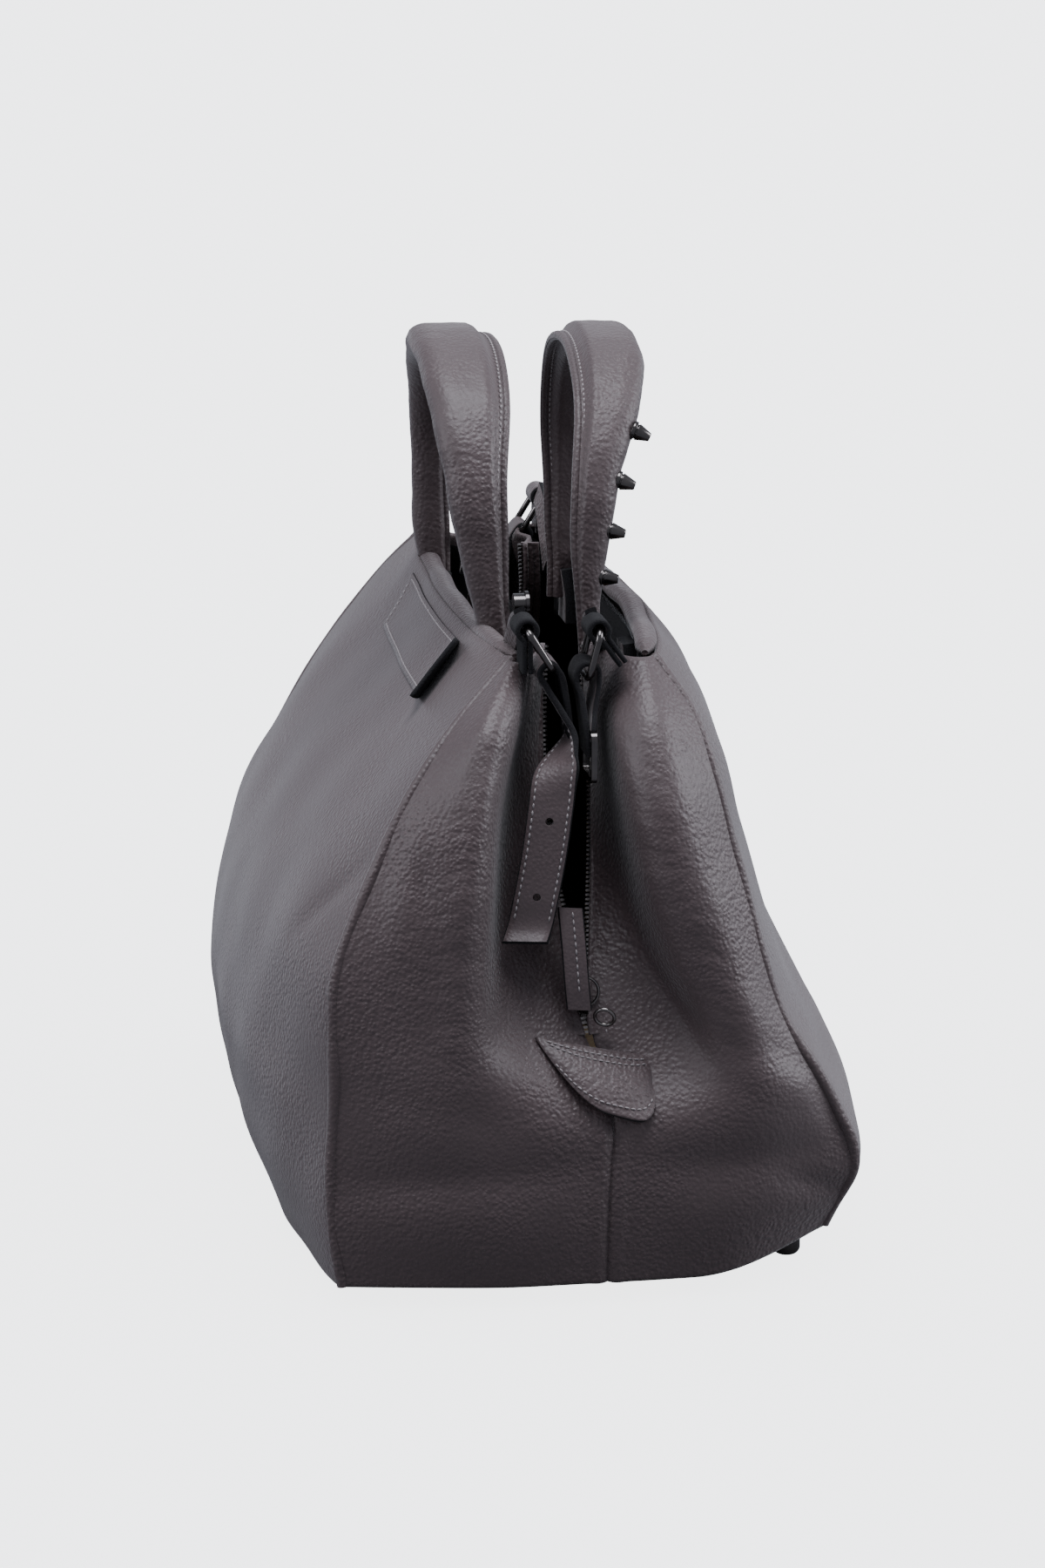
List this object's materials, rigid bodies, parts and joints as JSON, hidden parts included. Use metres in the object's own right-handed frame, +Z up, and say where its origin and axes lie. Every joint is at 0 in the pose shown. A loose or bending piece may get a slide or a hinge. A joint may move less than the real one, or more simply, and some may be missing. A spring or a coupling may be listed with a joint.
{
  "type": "leather handbag",
  "caption": "Slouchy leather tote with folded gussets, an open zip down both ends, two top handles, studs, and small buckled side belts on rings.",
  "frame": {"origin": "centre of the footprint, on the surface the feet stand on", "axes": "+X along the bag's length towards the end without the zip slider, +Y towards the plain back with the stitched tab, +Z up"},
  "size_m": [0.4212, 0.2748, 0.384],
  "materials": {
    "anchor_leather": "pebbled matte leather, dark taupe grey",
    "base_board": "pressed fibre stiffener board",
    "core_foam": "soft felt and cord filler inside the handle",
    "foot_metal": "dark gunmetal plating, polished",
    "gunmetal_buckle": "dark gunmetal plating, polished",
    "gunmetal_ring": "dark gunmetal plating, polished",
    "gunmetal_studs": "dark gunmetal plating, polished",
    "handle_leather": "pebbled matte leather, dark taupe grey",
    "lining_fabric": "woven cotton twill lining",
    "loop_leather": "pebbled matte leather, dark taupe grey",
    "piping_leather": "pebbled matte leather, dark taupe grey",
    "shell_leather": "pebbled matte leather, dark taupe grey",
    "strap_leather": "pebbled matte leather, dark taupe grey",
    "tab_leather": "pebbled matte leather, dark taupe grey",
    "zip_leather": "pebbled matte leather, dark taupe grey",
    "zip_metal": "dark gunmetal plating, polished"
  },
  "bodies": {
    "bag": {"back_panel": "shell_leather", "back_tab": "tab_leather", "base_board": "base_board", "base_panel": "shell_leather", "feet": "foot_metal", "foot_washers": "foot_metal", "front_panel": "shell_leather", "gusset_left_back": "shell_leather", "gusset_left_front": "shell_leather", "gusset_right_back": "shell_leather", "gusset_right_front": "shell_leather", "handle_anchor_back": "anchor_leather", "handle_anchor_front": "anchor_leather", "lining": "lining_fabric", "piping_left_back": "piping_leather", "piping_left_front": "piping_leather", "piping_right_back": "piping_leather", "piping_right_front": "piping_leather", "rim_facing_back": "shell_leather", "rim_facing_front": "shell_leather", "ring_loop_left_back": "loop_leather", "ring_loop_left_front": "loop_leather", "ring_loop_right_back": "loop_leather", "ring_loop_right_front": "loop_leather", "zip_placket_back": "zip_leather", "zip_placket_front": "zip_leather", "zip_strip_left_back": "zip_leather", "zip_strip_left_front": "zip_leather", "zip_strip_right_back": "zip_leather", "zip_strip_right_front": "zip_leather", "zip_tab_left": "zip_leather", "zip_tab_right": "zip_leather", "zip_teeth_back": "zip_metal", "zip_teeth_front": "zip_metal", "zip_teeth_left": "zip_metal", "zip_teeth_right": "zip_metal"},
    "handle_back": {"handle_wrap_back": "handle_leather", "handle_core_back": "core_foam", "handle_rivets": "gunmetal_studs"},
    "handle_front": {"handle_wrap_front": "handle_leather", "handle_core_front": "core_foam", "handle_studs": "gunmetal_studs"},
    "ring_left_back": {"ring_left_back": "gunmetal_ring"},
    "ring_left_front": {"ring_left_front": "gunmetal_ring"},
    "belt_left": {"belt_strap_left": "strap_leather", "belt_buckle_strap_left": "strap_leather", "belt_buckle_left": "gunmetal_buckle"},
    "prong_left": {"belt_prong_left": "gunmetal_buckle"},
    "ring_right_back": {"ring_right_back": "gunmetal_ring"},
    "ring_right_front": {"ring_right_front": "gunmetal_ring"},
    "belt_right": {"belt_strap_right": "strap_leather", "belt_buckle_strap_right": "strap_leather", "belt_buckle_right": "gunmetal_buckle"},
    "prong_right": {"belt_prong_right": "gunmetal_buckle"},
    "zip_slider": {"zip_slider": "zip_metal"},
    "zip_pull": {"zip_pull_ring": "zip_metal", "zip_puller": "zip_leather"}
  },
  "joints": [
    {"name": "handle_back_swing", "type": "hinge", "parent": "bag", "child": "handle_back", "pos_m": [0, 0.029, 0.271], "axis": [1, 0, 0], "range_deg": [-75, 5]},
    {"name": "handle_front_swing", "type": "hinge", "parent": "bag", "child": "handle_front", "pos_m": [0, -0.029, 0.271], "axis": [1, 0, 0], "range_deg": [-5, 75]},
    {"name": "ring_left_back_swing", "type": "hinge", "parent": "bag", "child": "ring_left_back", "pos_m": [-0.163, 0.027, 0.28], "axis": [1, 0, 0], "range_deg": [-6, 6]},
    {"name": "ring_left_front_swing", "type": "hinge", "parent": "bag", "child": "ring_left_front", "pos_m": [-0.163, -0.003, 0.279], "axis": [1, 0, 0], "range_deg": [-6, 6]},
    {"name": "belt_left_swing", "type": "hinge", "parent": "ring_left_back", "child": "belt_left", "pos_m": [-0.163, 0.0164, 0.26304], "axis": [1, 0, 0], "range_deg": [-6, 6]},
    {"name": "prong_left_swing", "type": "hinge", "parent": "belt_left", "child": "prong_left", "pos_m": [-0.171, -0.00146, 0.235], "axis": [1, 0, 0], "range_deg": [-60, 0]},
    {"name": "ring_right_front_swing", "type": "hinge", "parent": "bag", "child": "ring_right_front", "pos_m": [0.163, -0.027, 0.28], "axis": [1, 0, 0], "range_deg": [-6, 6]},
    {"name": "ring_right_back_swing", "type": "hinge", "parent": "bag", "child": "ring_right_back", "pos_m": [0.163, 0.003, 0.279], "axis": [1, 0, 0], "range_deg": [-6, 6]},
    {"name": "belt_right_swing", "type": "hinge", "parent": "ring_right_front", "child": "belt_right", "pos_m": [0.163, -0.0164, 0.26304], "axis": [1, 0, 0], "range_deg": [-6, 6]},
    {"name": "prong_right_swing", "type": "hinge", "parent": "belt_right", "child": "prong_right", "pos_m": [0.171, 0.00146, 0.235], "axis": [1, 0, 0], "range_deg": [0, 60]},
    {"name": "zip_slider_travel", "type": "hinge", "parent": "bag", "child": "zip_slider", "pos_m": [-0.51454, 0.006, 0.32701], "axis": [0, -1, 0], "range_deg": [0, 5]},
    {"name": "zip_pull_swing", "type": "hinge", "parent": "zip_slider", "child": "zip_pull", "pos_m": [-0.18779, 0.006, 0.12303], "axis": [0, -1, 0], "range_deg": [0, 130]}
  ],
  "couplings": [
    {"joint": "ring_left_front_swing", "follows": "ring_left_back_swing", "ratio": 1},
    {"joint": "belt_left_swing", "follows": "ring_left_back_swing", "ratio": -1},
    {"joint": "ring_right_back_swing", "follows": "ring_right_front_swing", "ratio": 1},
    {"joint": "belt_right_swing", "follows": "ring_right_front_swing", "ratio": -1}
  ]
}
